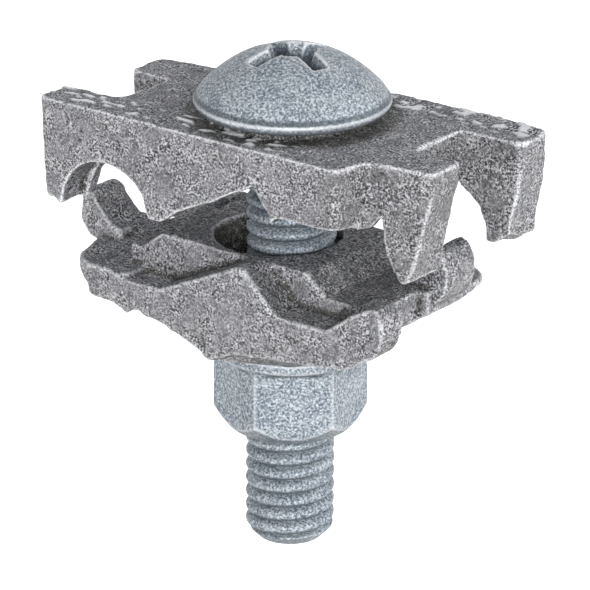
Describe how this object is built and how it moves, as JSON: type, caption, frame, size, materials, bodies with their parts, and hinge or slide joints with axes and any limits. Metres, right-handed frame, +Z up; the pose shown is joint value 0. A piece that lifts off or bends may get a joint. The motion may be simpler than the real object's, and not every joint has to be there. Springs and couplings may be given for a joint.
{
  "type": "cable grounding connector",
  "caption": "Interlocking cast jaws on a truss-head screw with a collared hex nut; clamps a ground cable on each side of the screw.",
  "frame": {"origin": "centre of the screw's free end", "axes": "+Z up the screw towards its head, +X along the jaws, +Y along the cables; the left (-X) cable seat is open towards -Y in the picture's front"},
  "size_m": [0.0492, 0.0234, 0.0548],
  "materials": {
    "jaws": "rough",
    "hardware": "satin"
  },
  "bodies": {
    "upper": {"upper_jaw": "jaws"},
    "bolt": {"screw": "hardware"},
    "lower": {"lower_jaw": "jaws"},
    "nut": {"nut": "hardware"}
  },
  "joints": [
    {"name": "screw_spin", "type": "hinge", "parent": "upper", "child": "bolt", "pos_m": [0, 0, 0], "axis": [0, 0, 1], "continuous": true},
    {"name": "jaw_slide", "type": "slide", "parent": "upper", "child": "lower", "axis": [0, 0, 1], "range_m": [-0.0115, 0.0053]},
    {"name": "nut_spin", "type": "hinge", "parent": "lower", "child": "nut", "pos_m": [0, 0, 0], "axis": [0, 0, 1], "range_deg": [-2600, 1195]}
  ],
  "couplings": [
    {"joint": "jaw_slide", "follows": "nut_spin", "m_per_rad": 0.00025266}
  ]
}
